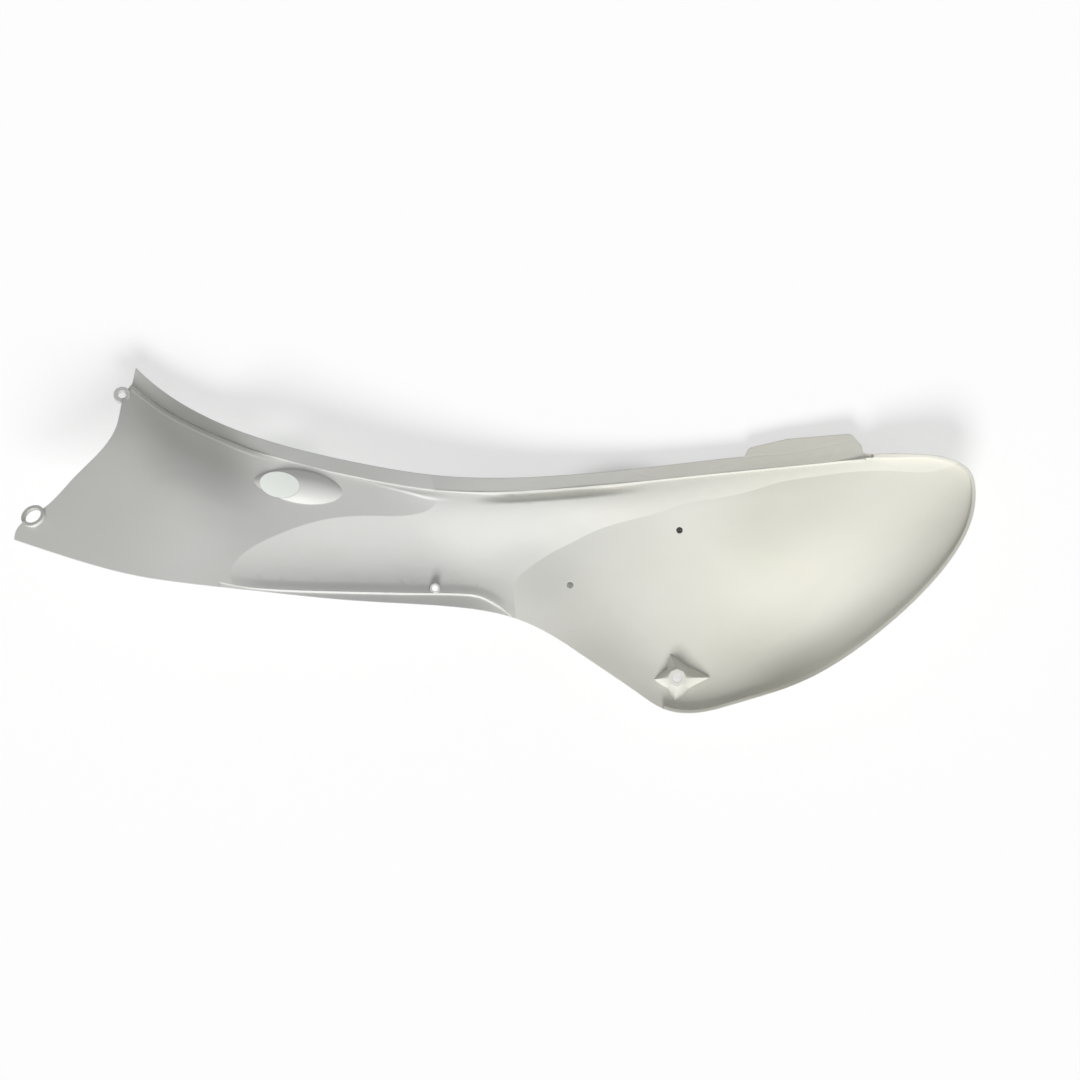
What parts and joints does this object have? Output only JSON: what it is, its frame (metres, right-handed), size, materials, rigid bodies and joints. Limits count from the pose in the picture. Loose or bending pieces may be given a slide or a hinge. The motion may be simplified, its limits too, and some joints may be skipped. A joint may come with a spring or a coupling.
{
  "type": "scooter side panel",
  "caption": "Moulded rear side panel: a bowl-shaped front, a slim tail with lugs, a stepped seat flange, an oval hole and a screw boss.",
  "frame": {"origin": "middle of the panel's box in plan, on the surface that it lies on", "axes": "+X from the tail to the front, +Y to the edge that meets the seat, +Z out of the hollow inner face"},
  "size_m": [0.739, 0.268, 0.0965],
  "materials": {
    "moulded_plastic": "unpainted light grey moulded plastic, satin, faintly warm in the bowl"
  },
  "bodies": {
    "root": {"side_panel": "moulded_plastic"}
  },
  "joints": []
}
